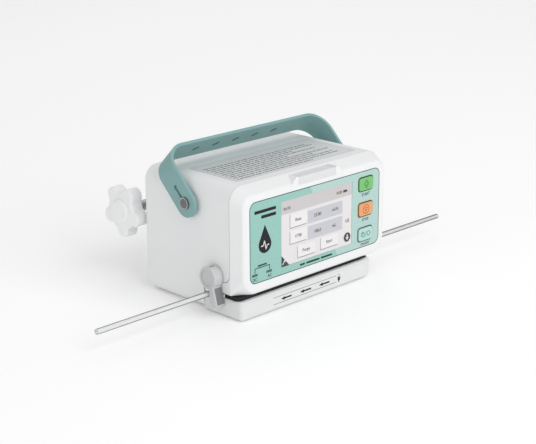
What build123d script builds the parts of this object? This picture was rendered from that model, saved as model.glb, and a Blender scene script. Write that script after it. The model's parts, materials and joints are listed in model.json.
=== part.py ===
from build123d import *
import math
import os

# Infusion pump, millimetres. X is right seen from the front, Y points to the back, Z is up.
# The origin is the centre of the base.

os.makedirs("parts", exist_ok=True)

# ---------------------------------------------------------------- driving dimensions
HALF_W = 75.0
FRONT = -48.0
BACK = 51.2
BASE = 0.8
TOP = 92.4
WALL = 2.6
SEAM_Y = FRONT + 10.0
FACE_HALF_W = 71.3
FACE_TOP = 87.1
R_TOP = 11.0
R_FACE = 9.0
R_SKIRT = 15.0
R_SKIRT_SIDE = 1.5
R_REAR_LOW = 8.0
SKIRT_Z = 16.7
SKIRT_SEAM_Z = 25.0
SKIRT_FLOOR_Z = 21.5
SKIRT_BACK = FRONT + 36.0
SEAM_GAP = 0.35

PANEL_HALF_W = 66.0
PANEL_Z = (24.5, 82.3)
PANEL_T = 0.5
SCREEN_X = (-35.8, 36.4)
SCREEN_Z = (30.0, 76.9)

KEY_X = 50.75
KEY_Z = (72.4, 53.4, 34.5)
KEY_W = 14.5
KEY_H = 9.5
KEY_GAP = 0.3
KEY_TRAVEL = 0.6

LAMP_HALF_W = 19.1
LAMP_Z = (85.4, 91.0)
LAMP_DEPTH = 8.4

TUBE_R = 2.0
TUBE_BORE_R = 1.3
TUBE_Y = FRONT + 25.3
TUBE_Z = 16.3
TUBE_X = (-177.0, 168.0)

DOOR_X = (-75.0, 65.0)
DOOR_FRONT = FRONT - 1.2
DOOR_BACK = FRONT + 35.3
DOOR_TOP = 14.0
HINGE_Y = FRONT + 31.5
HINGE_Z = 4.0
HINGE_LUG_X = (-46.0, 40.0)
HINGE_PIN_R = 1.5

LEVER_Y = FRONT + 24.3
LEVER_Z = 28.3
LEVER_X = (-83.0, -75.6)
LEVER_HUB_R = 8.0
LEVER_SHAFT_R = 2.5

CAM_Y = TUBE_Y
CAM_Z = 38.0
CAM_R = 6.0
FINGER_X0 = -25.0
FINGER_PITCH = 5.4
FINGER_COUNT = 6
FINGER_W = 4.4
FINGER_D = 7.0
FINGER_TIP_Z = 19.5

RIVET_Y = FRONT + 48.9
RIVET_Z = 75.3
STRAP_HALF_W = 79.6
STRAP_T = 2.3
STRAP_BAND = 18.8
STRAP_REACH = 39.5
STRAP_BEND_R = 17.0

CLAMP_Y = 72.0
CLAMP_Z = 54.3
SCREW_R = 4.0
KNOB_X = (-79.0, -69.5)


# ---------------------------------------------------------------- helpers
def slab(x, y, z, mode=Mode.ADD):
    """Box spanning three (low, high) ranges."""
    with Locations(((x[0] + x[1]) / 2, (y[0] + y[1]) / 2, (z[0] + z[1]) / 2)):
        Box(x[1] - x[0], y[1] - y[0], z[1] - z[0], mode=mode)


def rod_x(r, x, y, z, mode=Mode.ADD):
    """Cylinder along X between two x values."""
    with Locations(Location(((x[0] + x[1]) / 2, y, z), (0, 90, 0))):
        Cylinder(r, x[1] - x[0], mode=mode)


def rod_y(r, x, y, z, mode=Mode.ADD):
    """Cylinder along Y between two y values."""
    with Locations(Location((x, (y[0] + y[1]) / 2, z), (90, 0, 0))):
        Cylinder(r, y[1] - y[0], mode=mode)


def rod_z(r, x, y, z, mode=Mode.ADD):
    """Cylinder along Z between two z values."""
    with Locations((x, y, (z[0] + z[1]) / 2)):
        Cylinder(r, z[1] - z[0], mode=mode)


def front_sketch(y, half_w, z, r_low, r_high):
    """Rectangle in a plane facing the front, with its own low and high corner radii."""
    with BuildSketch(Plane.XZ.offset(-y)) as s:
        with Locations((0, (z[0] + z[1]) / 2)):
            Rectangle(2 * half_w, z[1] - z[0])
        fillet(s.vertices().group_by(Axis.Y)[-1], r_high)
        fillet(s.vertices().group_by(Axis.Y)[0], r_low)
    return s.sketch


def prism_y(y, half_w, z, r_low, r_high):
    """Rounded prism along Y."""
    with BuildPart() as p:
        with BuildSketch(Plane.XZ.offset(-y[0])) as s:
            with Locations((0, (z[0] + z[1]) / 2)):
                Rectangle(2 * half_w, z[1] - z[0])
            fillet(s.vertices().group_by(Axis.Y)[-1], r_high)
            fillet(s.vertices().group_by(Axis.Y)[0], r_low)
        extrude(amount=-(y[1] - y[0]))
    return p.part


def taper_y(y, half_w, z_low, z_high, r_low, r_high):
    """Loft between two rounded outlines at two y stations."""
    with BuildPart() as p:
        a = front_sketch(y[0], half_w[0], (z_low[0], z_high[0]), r_low[0], r_high[0])
        b = front_sketch(y[1], half_w[1], (z_low[1], z_high[1]), r_low[1], r_high[1])
        loft(sections=[a.faces()[0], b.faces()[0]])
    return p.part


def casing_form():
    """Outside of the whole casing: tapered face, head over the tube door, full-height back."""
    with BuildPart() as p:
        add(taper_y((FRONT, SEAM_Y), (FACE_HALF_W, HALF_W), (SKIRT_Z, SKIRT_Z),
                    (FACE_TOP, TOP), (R_SKIRT, R_SKIRT_SIDE), (R_FACE, R_TOP)))
        add(prism_y((SEAM_Y, SKIRT_BACK), HALF_W, (SKIRT_Z, TOP), R_SKIRT_SIDE, R_TOP))
        add(prism_y((SKIRT_BACK, BACK), HALF_W, (BASE, TOP), R_REAR_LOW, R_TOP))
        rim = p.faces().sort_by(Axis.Y)[-1].edges()
        fillet(rim, 5.5)
        low = p.faces().sort_by(Axis.Y)[0].edges().filter_by(Axis.X).sort_by(Axis.Z)[0]
        fillet(low, 2.8)
    return p.part


def front_region(gap):
    """Everything in front of the casing seam, seen from the side, moved back by a gap."""
    with BuildPart() as p:
        with BuildSketch(Plane.YZ.offset(-90)):
            with BuildLine():
                a = (SEAM_Y + gap, 37 + gap)
                b = (FRONT + 16.5 + gap, SKIRT_SEAM_Z + gap)
                Line((FRONT - 5, 110), (SEAM_Y + gap, 110))
                Line((SEAM_Y + gap, 110), a)
                Spline(a, b, tangents=[(0, -1), (1, 0)])
                Line(b, (SKIRT_BACK + gap, SKIRT_SEAM_Z + gap))
                Line((SKIRT_BACK + gap, SKIRT_SEAM_Z + gap), (SKIRT_BACK + gap, -5))
                Line((SKIRT_BACK + gap, -5), (FRONT - 5, -5))
                Line((FRONT - 5, -5), (FRONT - 5, 110))
            make_face()
        extrude(amount=180)
    return p.part


def tip_rounded_box(x, y, z, r, axis):
    """Box with the edges along one axis rounded."""
    with BuildPart() as p:
        slab(x, y, z)
        fillet(p.edges().filter_by(axis), r)
    return p.part


CORNER_X = 66.0
CORNER_Z = (46.0, 81.5)
CORNERS = [(sx * CORNER_X, z) for sx in (-1, 1) for z in CORNER_Z]

# ---------------------------------------------------------------- casing
with BuildPart() as front_bezel:
    add(casing_form())
    add(front_region(0), mode=Mode.INTERSECT)
    # hollow behind the tapered face and above the head floor
    add(taper_y((FRONT + 2.8, SEAM_Y), (69.4, HALF_W - WALL), (SKIRT_FLOOR_Z, SKIRT_FLOOR_Z),
                (85.7, TOP - WALL), (10, 4), (7, R_TOP - WALL)), mode=Mode.SUBTRACT)
    add(prism_y((SEAM_Y, SKIRT_BACK + 1), HALF_W - WALL, (SKIRT_FLOOR_Z, TOP - WALL), 4, R_TOP - WALL),
        mode=Mode.SUBTRACT)
    # recess for the overlay, display opening
    add(tip_rounded_box((-PANEL_HALF_W, PANEL_HALF_W), (FRONT - 1, FRONT + PANEL_T), PANEL_Z, 5.5, Axis.Y),
        mode=Mode.SUBTRACT)
    slab((-40, 40.6), (FRONT - 1, FRONT + 3), (27.2, 79.6), mode=Mode.SUBTRACT)
    for z in KEY_Z:
        add(tip_rounded_box((KEY_X - KEY_W / 2 - KEY_GAP, KEY_X + KEY_W / 2 + KEY_GAP), (FRONT - 1, FRONT + 3),
                            (z - KEY_H / 2 - KEY_GAP, z + KEY_H / 2 + KEY_GAP), 2.2, Axis.Y), mode=Mode.SUBTRACT)
    for x in (-61.45, -47.75):
        slab((x - 2.75, x + 2.75), (FRONT - 1, FRONT + 3), (29.7, 31.5), mode=Mode.SUBTRACT)
    # flared cheeks beside the alarm lamp, and its notch
    with BuildSketch(Plane.XZ.offset(-FRONT)):
        with BuildLine():
            Polyline((-26.5, 86.0), (-21.2, 91.4), (21.2, 91.4), (26.5, 86.0), close=True)
        make_face()
    extrude(amount=-9.4)
    slab((-22, 22), (FRONT + 3, FRONT + 12), (80, 84), mode=Mode.SUBTRACT)
    slab((-LAMP_HALF_W, LAMP_HALF_W), (FRONT - 1, FRONT + LAMP_DEPTH), (LAMP_Z[0], 95), mode=Mode.SUBTRACT)
    slab((-LAMP_HALF_W + 2, LAMP_HALF_W - 2), (FRONT + 2.8, FRONT + 7.4), (80, 95), mode=Mode.SUBTRACT)
    # tube channel under the head floor, finger guide opening, sensor pockets, catch slot
    slab((-80, 80), (TUBE_Y - 2.4, TUBE_Y + 2.4), (SKIRT_Z - 1, 18.6), mode=Mode.SUBTRACT)
    slab((-31, 8), (TUBE_Y - 6, TUBE_Y + 6), (SKIRT_Z - 1, 23), mode=Mode.SUBTRACT)
    slab((-56, -46), (TUBE_Y - 4.5, TUBE_Y + 4.5), (SKIRT_Z - 1, 23), mode=Mode.SUBTRACT)
    slab((24, 34), (TUBE_Y - 4.5, TUBE_Y + 4.5), (SKIRT_Z - 1, 23), mode=Mode.SUBTRACT)
    slab((-59.5, -55.5 - 0.5), (FRONT + 8.2, FRONT + 19.2), (SKIRT_Z - 1, 23), mode=Mode.SUBTRACT)
    # screw pillars at the corners
    for x, z in CORNERS:
        rod_y(4.2, x, (FRONT + 2.6, FRONT + 18), z)
    for x, z in CORNERS:
        rod_y(1.3, x, (FRONT + 7, FRONT + 18.5), z, mode=Mode.SUBTRACT)
front_bezel.part.label = "front_bezel"
export_step(front_bezel.part, "parts/front_bezel.step")

with BuildPart() as rear_housing:
    add(casing_form())
    add(front_region(SEAM_GAP), mode=Mode.SUBTRACT)
    add(prism_y((SEAM_Y - 1, BACK - WALL), HALF_W - WALL, (SKIRT_FLOOR_Z, TOP - WALL), 4, R_TOP - WALL),
        mode=Mode.SUBTRACT)
    add(prism_y((SKIRT_BACK + 2.8, BACK - WALL), HALF_W - WALL, (BASE + WALL, 60), 5.5, 5), mode=Mode.SUBTRACT)
    # screw wells running in from the back
    for x, z in CORNERS:
        rod_y(4.6, x, (FRONT + 18, BACK - 1), z)
    for x, z in CORNERS:
        rod_y(3.2, x, (FRONT + 21, BACK + 1), z, mode=Mode.SUBTRACT)
    for x, z in CORNERS:
        rod_y(1.7, x, (FRONT + 17, FRONT + 22), z, mode=Mode.SUBTRACT)
    # lugs that carry the tube door
    for x in HINGE_LUG_X:
        rod_x(3.4, (x - 4, x + 4), HINGE_Y, HINGE_Z)
        slab((x - 4, x + 4), (HINGE_Y, SKIRT_BACK + 1), (1.2, 7.2))
    for x in HINGE_LUG_X:
        rod_x(HINGE_PIN_R, (x - 5, x + 5), HINGE_Y, HINGE_Z, mode=Mode.SUBTRACT)
    # lever bush, handle rivets
    rod_x(3.2, (-76, -62), LEVER_Y, LEVER_Z, mode=Mode.SUBTRACT)
    rod_x(2.9, (-76, 76), RIVET_Y, RIVET_Z, mode=Mode.SUBTRACT)
    # battery opening with a step for the cover
    slab((-52, 10), (0, 36), (0, 5), mode=Mode.SUBTRACT)
    slab((-55, 13), (-3, 39), (0, 2.2), mode=Mode.SUBTRACT)
    # back sockets and clamp fastener holes
    slab((40, 60), (BACK - 4, BACK + 1), (10, 25), mode=Mode.SUBTRACT)
    rod_y(4.5, 28, (BACK - 4, BACK + 1), 17.5, mode=Mode.SUBTRACT)
    for x in (-24, 6):
        for z in (44, 66):
            rod_y(2.0, x, (BACK - 4, BACK + 1), z, mode=Mode.SUBTRACT)
    # speaker grille in the right wall
    with Locations(Location((HALF_W - 1, 22, 63.7), (0, 90, 0))):
        with HexLocations(2.4, 3, 3):
            Cylinder(1.1, 6, mode=Mode.SUBTRACT)
rear_housing.part.label = "rear_housing"
export_step(rear_housing.part, "parts/rear_housing.step")

with BuildPart() as casing_screws:
    for x, z in CORNERS:
        rod_y(1.3, x, (FRONT + 9, FRONT + 21.5), z)
        rod_y(2.9, x, (FRONT + 21, FRONT + 23.4), z)
    for x, z in CORNERS:
        slab((x - 1.8, x + 1.8), (FRONT + 22.4, FRONT + 24), (z - 0.3, z + 0.3), mode=Mode.SUBTRACT)
        slab((x - 0.3, x + 0.3), (FRONT + 22.4, FRONT + 24), (z - 1.8, z + 1.8), mode=Mode.SUBTRACT)
casing_screws.part.label = "casing_screws"
export_step(casing_screws.part, "parts/casing_screws.step")

with BuildPart() as battery_cover:
    slab((-54.8, 12.8), (-2.8, 38.8), (BASE, 2.2))
    slab((-51.8, 9.8), (0.2, 35.8), (2.2, 3.4))
    for x in (-44, 2):
        rod_z(2.4, x, 33, (0, 1.6), mode=Mode.SUBTRACT)
    # centre rest pad, level with the feet
    rod_z(2.5, 0, 0, (0, BASE))
battery_cover.part.label = "battery_cover"
export_step(battery_cover.part, "parts/battery_cover.step")

with BuildPart() as rear_feet:
    for x in (-61, 61):
        rod_z(4.5, x, 34, (0, BASE))
rear_feet.part.label = "rear_feet"
export_step(rear_feet.part, "parts/rear_feet.step")

with BuildPart() as top_label:
    add(tip_rounded_box((-59.5, 59.5), (FRONT + 17.5, FRONT + 67), (TOP, TOP + 0.25), 2.5, Axis.Z))
top_label.part.label = "top_label"
export_step(top_label.part, "parts/top_label.step")

# ---------------------------------------------------------------- control panel
with BuildPart() as membrane_overlay:
    add(tip_rounded_box((-PANEL_HALF_W + 0.1, PANEL_HALF_W - 0.1), (FRONT, FRONT + PANEL_T),
                        (PANEL_Z[0] + 0.1, PANEL_Z[1] - 0.1), 5.4, Axis.Y))
    slab(SCREEN_X, (FRONT - 1, FRONT + 1), SCREEN_Z, mode=Mode.SUBTRACT)
    for z in KEY_Z:
        add(tip_rounded_box((KEY_X - KEY_W / 2 - KEY_GAP, KEY_X + KEY_W / 2 + KEY_GAP), (FRONT - 1, FRONT + 1),
                            (z - KEY_H / 2 - KEY_GAP, z + KEY_H / 2 + KEY_GAP), 2.2, Axis.Y), mode=Mode.SUBTRACT)
    for x in (-61.45, -47.75):
        slab((x - 2.75, x + 2.75), (FRONT - 1, FRONT + 1), (29.7, 31.5), mode=Mode.SUBTRACT)
membrane_overlay.part.label = "membrane_overlay"
export_step(membrane_overlay.part, "parts/membrane_overlay.step")

with BuildPart() as screen_lens:
    slab(SCREEN_X, (FRONT, FRONT + 0.6), SCREEN_Z)
    slab((-39.6, 40.2), (FRONT + PANEL_T, FRONT + 1.9), (27.6, 79.2))
screen_lens.part.label = "screen_lens"
export_step(screen_lens.part, "parts/screen_lens.step")

with BuildPart() as display_module:
    slab((-38.8, 39.4), (FRONT + 1.9, FRONT + 6.4), (28.4, 78.4))
display_module.part.label = "display_module"
export_step(display_module.part, "parts/display_module.step")


def key_cap(z):
    """Raised cap with a retaining flange behind the panel wall."""
    with BuildPart() as p:
        add(tip_rounded_box((KEY_X - KEY_W / 2, KEY_X + KEY_W / 2), (FRONT - 0.9, FRONT + 3.9),
                            (z - KEY_H / 2, z + KEY_H / 2), 2.0, Axis.Y))
        fillet(p.faces().sort_by(Axis.Y)[0].edges(), 0.4)
        slab((KEY_X - 8.4, KEY_X + 8.4), (FRONT + 3.1, FRONT + 3.9), (z - 6, z + 6))
    return p.part


with BuildPart() as key_start:
    add(key_cap(KEY_Z[0]))
key_start.part.label = "key_start"
export_step(key_start.part, "parts/key_start.step")

with BuildPart() as key_stop:
    add(key_cap(KEY_Z[1]))
key_stop.part.label = "key_stop"
export_step(key_stop.part, "parts/key_stop.step")

with BuildPart() as key_power:
    add(key_cap(KEY_Z[2]))
key_power.part.label = "key_power"
export_step(key_power.part, "parts/key_power.step")

with BuildPart() as key_board:
    slab((42.2, 60.6), (FRONT + 5.6, FRONT + 7.2), (27.5, 80))
    for z in KEY_Z:
        rod_y(3.0, KEY_X, (FRONT + 3.9 + KEY_TRAVEL + 0.1, FRONT + 5.7), z)
key_board.part.label = "key_board"
export_step(key_board.part, "parts/key_board.step")

with BuildPart() as led_light_pipes:
    for x in (-61.45, -47.75):
        slab((x - 2.7, x + 2.7), (FRONT, FRONT + 7), (29.75, 31.45))
led_light_pipes.part.label = "led_light_pipes"
export_step(led_light_pipes.part, "parts/led_light_pipes.step")

with BuildPart() as led_board:
    slab((-66, -43), (FRONT + 8, FRONT + 9.4), (26.5, 36))
    for x in (-61.45, -47.75):
        slab((x - 1.6, x + 1.6), (FRONT + 7, FRONT + 8), (29.8, 31.4))
led_board.part.label = "led_board"
export_step(led_board.part, "parts/led_board.step")

with BuildPart() as alarm_lamp_lens:
    slab((-LAMP_HALF_W, LAMP_HALF_W), (FRONT, FRONT + LAMP_DEPTH), LAMP_Z)
    lens_front = alarm_lamp_lens.faces().sort_by(Axis.Y)[0].edges().filter_by(Axis.X).sort_by(Axis.Z)[-1]
    fillet(lens_front, 0.8)
alarm_lamp_lens.part.label = "alarm_lamp_lens"
export_step(alarm_lamp_lens.part, "parts/alarm_lamp_lens.step")

with BuildPart() as lamp_board:
    slab((-16.5, 16.5), (FRONT + 3.1, FRONT + 7.2), (82.6, 83.8))
    for x in (-12, -6, 0, 6, 12):
        slab((x - 1.2, x + 1.2), (FRONT + 4, FRONT + 6.4), (83.8, 84.8))
lamp_board.part.label = "lamp_board"
export_step(lamp_board.part, "parts/lamp_board.step")

with BuildPart() as main_board:
    slab((-60, 60), (FRONT + 12, FRONT + 13.6), (49, 79))
    slab((-12, 6), (FRONT + 10.2, FRONT + 12), (56, 72))
    slab((14, 24), (FRONT + 10.6, FRONT + 12), (60, 68))
    slab((-30, -20), (FRONT + 10.6, FRONT + 12), (62, 72))
    slab((30, 52), (FRONT + 9.2, FRONT + 12), (52, 58))
    for x in (-52, -44, -36):
        rod_y(2.8, x, (FRONT + 8, FRONT + 12), 56)
main_board.part.label = "main_board"
export_step(main_board.part, "parts/main_board.step")

# ---------------------------------------------------------------- power and sound
with BuildPart() as battery_pack:
    for y in (8.8, 26.2):
        rod_x(8.6, (-50, 8), y, 12.6)
    slab((-50, 8), (8.8, 26.2), (6, 19))
battery_pack.part.label = "battery_pack"
export_step(battery_pack.part, "parts/battery_pack.step")

with BuildPart() as power_board:
    slab((18, 68), (-6, 30), (6.4, 8))
    slab((44, 64), (0, 18), (8, 26))
    slab((22, 34), (-4, 6), (8, 20))
    for y in (14, 24):
        rod_z(4.5, 30, y, (8, 22))
power_board.part.label = "power_board"
export_step(power_board.part, "parts/power_board.step")

with BuildPart() as ac_inlet:
    slab((40, 60), (31, BACK + 0.1), (10, 25))
    add(tip_rounded_box((37.5, 62.5), (BACK, BACK + 1.6), (8, 27), 2.5, Axis.Y))
    add(tip_rounded_box((42, 58), (36, BACK + 3), (12, 23), 2, Axis.Y), mode=Mode.SUBTRACT)
    for x in (46, 54):
        rod_y(1.15, x, (34, 46), 17.5)
ac_inlet.part.label = "ac_inlet"
export_step(ac_inlet.part, "parts/ac_inlet.step")

with BuildPart() as dc_jack:
    rod_y(4.5, 28, (36, BACK + 0.8), 17.5)
    rod_y(2.75, 28, (38.5, BACK + 3), 17.5, mode=Mode.SUBTRACT)
    rod_y(1.05, 28, (37, 46.5), 17.5)
dc_jack.part.label = "dc_jack"
export_step(dc_jack.part, "parts/dc_jack.step")

with BuildPart() as speaker:
    rod_x(12, (70.2, HALF_W - WALL), 22, 63.7)
    rod_x(7, (66, 70.3), 22, 63.7)
    rod_x(9.5, (71.2, 73), 22, 63.7, mode=Mode.SUBTRACT)
speaker.part.label = "speaker"
export_step(speaker.part, "parts/speaker.step")

# ---------------------------------------------------------------- tube door
with BuildPart() as tube_door:
    with BuildSketch(Plane.XY.offset(BASE)) as door_plan:
        with Locations(((DOOR_X[0] + DOOR_X[1]) / 2, (DOOR_FRONT + DOOR_BACK) / 2)):
            Rectangle(DOOR_X[1] - DOOR_X[0], DOOR_BACK - DOOR_FRONT)
        fillet(door_plan.vertices().group_by(Axis.Y)[0].sort_by(Axis.X)[0], 3.5)
        fillet(door_plan.vertices().group_by(Axis.Y)[0].sort_by(Axis.X)[-1], 17)
    extrude(amount=DOOR_TOP - BASE)
    door_top = tube_door.faces().sort_by(Axis.Z)[-1].edges()
    chamfer([e for e in door_top if e.center().Y < DOOR_BACK - 1], 1.8)
    door_low = tube_door.faces().sort_by(Axis.Z)[0].edges()
    fillet(door_low, 2.5)
    for x in HINGE_LUG_X:
        slab((x - 4.3, x + 4.3), (HINGE_Y - 4, DOOR_BACK + 1), (-1, 8.6), mode=Mode.SUBTRACT)
    for x in HINGE_LUG_X:
        rod_x(HINGE_PIN_R + 0.07, (x - 10.2, x + 10.2), HINGE_Y, HINGE_Z, mode=Mode.SUBTRACT)
    slab((-70, 58), (FRONT + 4, FRONT + 30.8), (12, 15), mode=Mode.SUBTRACT)
tube_door.part.label = "tube_door"
export_step(tube_door.part, "parts/tube_door.step")

with BuildPart() as door_platen:
    with BuildSketch(Plane.XY.offset(DOOR_TOP)) as platen_plan:
        with Locations((-5.2, FRONT + 12.9)):
            Rectangle(137.6, 19.4)
        fillet(platen_plan.vertices().group_by(Axis.Y)[0].sort_by(Axis.X)[0], 3)
        fillet(platen_plan.vertices().group_by(Axis.Y)[0].sort_by(Axis.X)[-1], 15)
    extrude(amount=2.5)
    slab((-74, 62), (FRONT + 22.5, FRONT + 30.8), (DOOR_TOP, DOOR_TOP + 0.15))
    slab((-70, 58), (FRONT + 4, FRONT + 30.8), (12, DOOR_TOP))
    slab((-59.3, -56.2), (FRONT + 14, FRONT + 18.5), (11, 20), mode=Mode.SUBTRACT)
door_platen.part.label = "door_platen"
export_step(door_platen.part, "parts/door_platen.step")

with BuildPart() as door_catch:
    slab((-58.8, -56.7), (FRONT + 14.5, FRONT + 18), (12, 20.8))
    slab((-58.8, -56.7), (FRONT + 16.5, FRONT + 19), (16, 18.6), mode=Mode.SUBTRACT)
door_catch.part.label = "door_catch"
export_step(door_catch.part, "parts/door_catch.step")

with BuildPart() as hinge_pins:
    for x in HINGE_LUG_X:
        rod_x(HINGE_PIN_R, (x - 10, x + 10), HINGE_Y, HINGE_Z)
hinge_pins.part.label = "hinge_pins"
export_step(hinge_pins.part, "parts/hinge_pins.step")

with BuildPart() as front_feet:
    for x in (-60, 42):
        rod_z(4.5, x, FRONT + 9, (0, BASE))
front_feet.part.label = "front_feet"
export_step(front_feet.part, "parts/front_feet.step")

# ---------------------------------------------------------------- lever
with BuildPart() as door_lever:
    with BuildSketch(Plane.YZ.offset(LEVER_X[0])):
        with Locations((LEVER_Y, LEVER_Z)):
            Circle(LEVER_HUB_R)
        with BuildLine():
            Polyline((LEVER_Y - 4, LEVER_Z), (FRONT + 18.2, 22.0), (FRONT + 15.0, 10.5), (FRONT + 16.4, 8.0),
                     (FRONT + 20.6, 8.0), (FRONT + 22.6, 10.6), (FRONT + 22.6, 21.0), (LEVER_Y + 3, LEVER_Z - 6),
                     close=True)
        make_face()
    extrude(amount=LEVER_X[1] - LEVER_X[0])
    fillet(door_lever.faces().sort_by(Axis.X)[0].edges(), 0.9)
    rod_x(5.9, (LEVER_X[0] - 1, LEVER_X[0] + 0.7), LEVER_Y, LEVER_Z, mode=Mode.SUBTRACT)
    rod_x(LEVER_SHAFT_R, (LEVER_X[1] - 5, LEVER_X[1] + 1), LEVER_Y, LEVER_Z, mode=Mode.SUBTRACT)
door_lever.part.label = "door_lever"
export_step(door_lever.part, "parts/door_lever.step")

with BuildPart() as lever_shaft:
    rod_x(LEVER_SHAFT_R, (LEVER_X[1] - 5, -54), LEVER_Y, LEVER_Z)
lever_shaft.part.label = "lever_shaft"
export_step(lever_shaft.part, "parts/lever_shaft.step")

with BuildPart() as latch_cam:
    rod_x(5.2, (-60.5, -56), LEVER_Y, LEVER_Z)
    slab((-60.5, -56), (LEVER_Y - 9, LEVER_Y), (LEVER_Z - 2, LEVER_Z + 3))
    rod_x(LEVER_SHAFT_R, (-62, -54), LEVER_Y, LEVER_Z, mode=Mode.SUBTRACT)
latch_cam.part.label = "latch_cam"
export_step(latch_cam.part, "parts/latch_cam.step")

with BuildPart() as lever_bush:
    rod_x(3.2, (-75, -70), LEVER_Y, LEVER_Z)
    rod_x(LEVER_SHAFT_R + 0.06, (-76, -69), LEVER_Y, LEVER_Z, mode=Mode.SUBTRACT)
lever_bush.part.label = "lever_bush"
export_step(lever_bush.part, "parts/lever_bush.step")

# ---------------------------------------------------------------- pumping mechanism
MODULE = 0.7
GEAR_TEETH = 30
PINION_TEETH = 13
GEAR_X = (15.5, 19.5)
MOTOR_Z = CAM_Z + 15.2


def gear_blank(teeth, x, y, z, phase):
    """Spur gear with straight-sided teeth; phase is the angle of one tooth, in radians."""
    r_pitch = MODULE * teeth / 2
    r_root = r_pitch - 0.85
    r_tip = r_pitch + 0.5
    w_root = 0.6 / r_root
    w_tip = 0.26 / r_tip
    points = []
    for k in range(teeth):
        a = phase + 2 * math.pi * k / teeth
        for r, d in ((r_root, -w_root), (r_tip, -w_tip), (r_tip, w_tip), (r_root, w_root)):
            points.append((y + r * math.cos(a + d), z + r * math.sin(a + d)))
    with BuildPart() as p:
        with BuildSketch(Plane.YZ.offset(x[0])):
            with BuildLine():
                Polyline(*points, close=True)
            make_face()
        extrude(amount=x[1] - x[0])
    return p.part


with BuildPart() as mechanism_frame:
    slab((-38, 22.8), (FRONT + 15, FRONT + 35), (SKIRT_FLOOR_Z, 24))
    slab((-38, -35), (FRONT + 17, FRONT + 34), (24, 46))
    slab((10.5, 13.5), (FRONT + 17, FRONT + 34), (24, 46))
    slab((-31.2, 8.2), (TUBE_Y - 6.2, TUBE_Y + 6.2), (20, 25), mode=Mode.SUBTRACT)
    slab((14.5, 20.5), (TUBE_Y - 8, TUBE_Y + 8), (20, 25), mode=Mode.SUBTRACT)
    rod_x(4.5, (-39, 14), CAM_Y, CAM_Z, mode=Mode.SUBTRACT)
mechanism_frame.part.label = "mechanism_frame"
export_step(mechanism_frame.part, "parts/mechanism_frame.step")

with BuildPart() as finger_guide:
    slab((-30.8, 7.8), (TUBE_Y - 5.8, TUBE_Y + 5.8), (18.6, 24.6))
    for k in range(FINGER_COUNT):
        x = FINGER_X0 + k * FINGER_PITCH
        slab((x - FINGER_W / 2 - 0.15, x + FINGER_W / 2 + 0.15),
             (TUBE_Y - FINGER_D / 2 - 0.15, TUBE_Y + FINGER_D / 2 + 0.15), (18, 26), mode=Mode.SUBTRACT)
finger_guide.part.label = "finger_guide"
export_step(finger_guide.part, "parts/finger_guide.step")


def finger(k):
    """One pumping finger with a rounded tip."""
    x = FINGER_X0 + k * FINGER_PITCH
    with BuildPart() as p:
        slab((x - FINGER_W / 2, x + FINGER_W / 2), (TUBE_Y - FINGER_D / 2, TUBE_Y + FINGER_D / 2),
             (FINGER_TIP_Z, CAM_Z - CAM_R - 0.1))
        fillet(p.faces().sort_by(Axis.Z)[0].edges().filter_by(Axis.Y), 1.0)
    return p.part


with BuildPart() as finger_1:
    add(finger(0))
finger_1.part.label = "finger_1"
export_step(finger_1.part, "parts/finger_1.step")

with BuildPart() as finger_2:
    add(finger(1))
finger_2.part.label = "finger_2"
export_step(finger_2.part, "parts/finger_2.step")

with BuildPart() as finger_3:
    add(finger(2))
finger_3.part.label = "finger_3"
export_step(finger_3.part, "parts/finger_3.step")

with BuildPart() as finger_4:
    add(finger(3))
finger_4.part.label = "finger_4"
export_step(finger_4.part, "parts/finger_4.step")

with BuildPart() as finger_5:
    add(finger(4))
finger_5.part.label = "finger_5"
export_step(finger_5.part, "parts/finger_5.step")

with BuildPart() as finger_6:
    add(finger(5))
finger_6.part.label = "finger_6"
export_step(finger_6.part, "parts/finger_6.step")

with BuildPart() as camshaft:
    rod_x(LEVER_SHAFT_R, (-39, 20.5), CAM_Y, CAM_Z)
    for k in range(FINGER_COUNT):
        a = 2 * math.pi * k / FINGER_COUNT
        x = FINGER_X0 + k * FINGER_PITCH
        rod_x(4.6, (x - 2.2, x + 2.2), CAM_Y + 1.3 * math.cos(a), CAM_Z + 1.3 * math.sin(a))
camshaft.part.label = "camshaft"
export_step(camshaft.part, "parts/camshaft.step")

with BuildPart() as cam_bearings:
    for x in ((-38, -35), (10.5, 13.5)):
        rod_x(4.5, x, CAM_Y, CAM_Z)
    rod_x(LEVER_SHAFT_R + 0.06, (-40, 15), CAM_Y, CAM_Z, mode=Mode.SUBTRACT)
cam_bearings.part.label = "cam_bearings"
export_step(cam_bearings.part, "parts/cam_bearings.step")

with BuildPart() as cam_gear:
    add(gear_blank(GEAR_TEETH, GEAR_X, CAM_Y, CAM_Z, math.pi / 2))
    rod_x(LEVER_SHAFT_R, (15, 20), CAM_Y, CAM_Z, mode=Mode.SUBTRACT)
cam_gear.part.label = "cam_gear"
export_step(cam_gear.part, "parts/cam_gear.step")

with BuildPart() as motor_pinion:
    add(gear_blank(PINION_TEETH, GEAR_X, CAM_Y, MOTOR_Z, -math.pi / 2 + math.pi / PINION_TEETH))
    rod_x(1.5, (15, 25.5), CAM_Y, MOTOR_Z)
motor_pinion.part.label = "motor_pinion"
export_step(motor_pinion.part, "parts/motor_pinion.step")

with BuildPart() as motor_bracket:
    slab((20.8, 22.8), (FRONT + 16, FRONT + 34), (24, 64))
    rod_x(4.2, (20, 23), CAM_Y, CAM_Z, mode=Mode.SUBTRACT)
    rod_x(5.0, (20, 23), CAM_Y, MOTOR_Z, mode=Mode.SUBTRACT)
motor_bracket.part.label = "motor_bracket"
export_step(motor_bracket.part, "parts/motor_bracket.step")

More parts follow.
